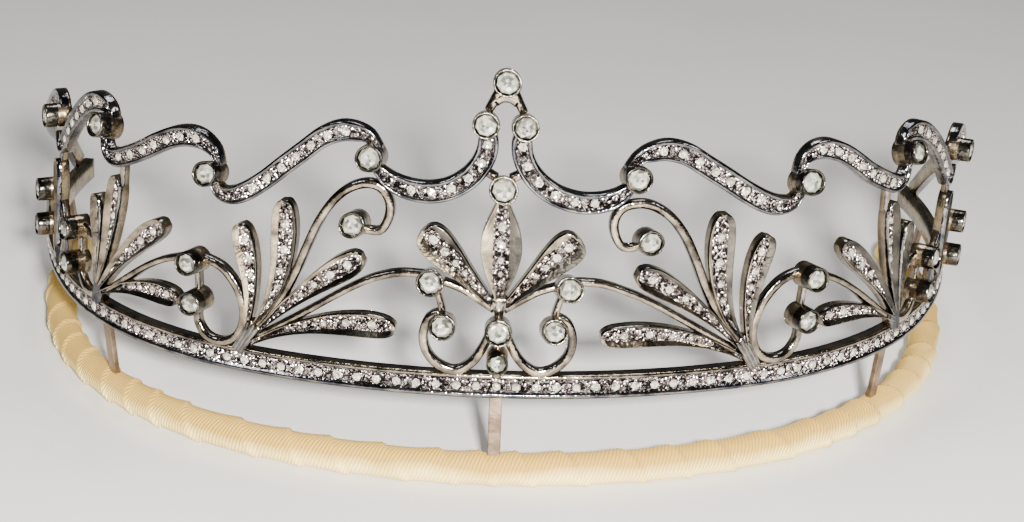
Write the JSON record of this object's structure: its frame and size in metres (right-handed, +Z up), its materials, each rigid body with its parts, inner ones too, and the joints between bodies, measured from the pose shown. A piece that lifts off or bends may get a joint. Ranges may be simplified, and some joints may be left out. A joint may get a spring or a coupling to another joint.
{
  "type": "diadem",
  "caption": "Openwork diadem of soldered silver ribbons, leaves and collets set with rose-cut stones, on posts above a ribbon-wound horseshoe ring.",
  "frame": {"origin": "middle of the whole diadem at the surface that the base ring rests on", "axes": "+Z up, -Y toward the decorated front, +X toward the wearer's left"},
  "size_m": [0.1416, 0.0893, 0.0564],
  "materials": {
    "silver": "blackened and polished",
    "ribbon": "ribbed silk ribbon, stained with wear",
    "stone": "rose-cut, clear to cream"
  },
  "bodies": {
    "root": {"openwork": "silver", "base_ring": "ribbon", "rail_stones": "stone", "ribbon_stones": "stone", "finial_stone": "stone", "centre_stone": "stone", "heart_stone": "stone", "rail_middle_stone": "stone", "pair_stone_left": "stone", "pair_stone_right": "stone", "shoulder_2_stone_left": "stone", "shoulder_2_stone_right": "stone", "shoulder_3_stone_left": "stone", "shoulder_3_stone_right": "stone", "shoulder_4_stone_left": "stone", "shoulder_4_stone_right": "stone", "shoulder_5_stone_left": "stone", "shoulder_5_stone_right": "stone", "curl_stone_left": "stone", "curl_stone_right": "stone", "arch_stone_left": "stone", "arch_stone_right": "stone", "scroll_stone_left": "stone", "scroll_stone_right": "stone", "outer_upper_stone_left": "stone", "outer_upper_stone_right": "stone", "outer_lower_stone_left": "stone", "outer_lower_stone_right": "stone", "side_upper_stone_left": "stone", "side_upper_stone_right": "stone", "side_lower_stone_left": "stone", "side_lower_stone_right": "stone", "rear_upper_stone_left": "stone", "rear_upper_stone_right": "stone", "rear_lower_stone_left": "stone", "rear_lower_stone_right": "stone"}
  },
  "joints": []
}
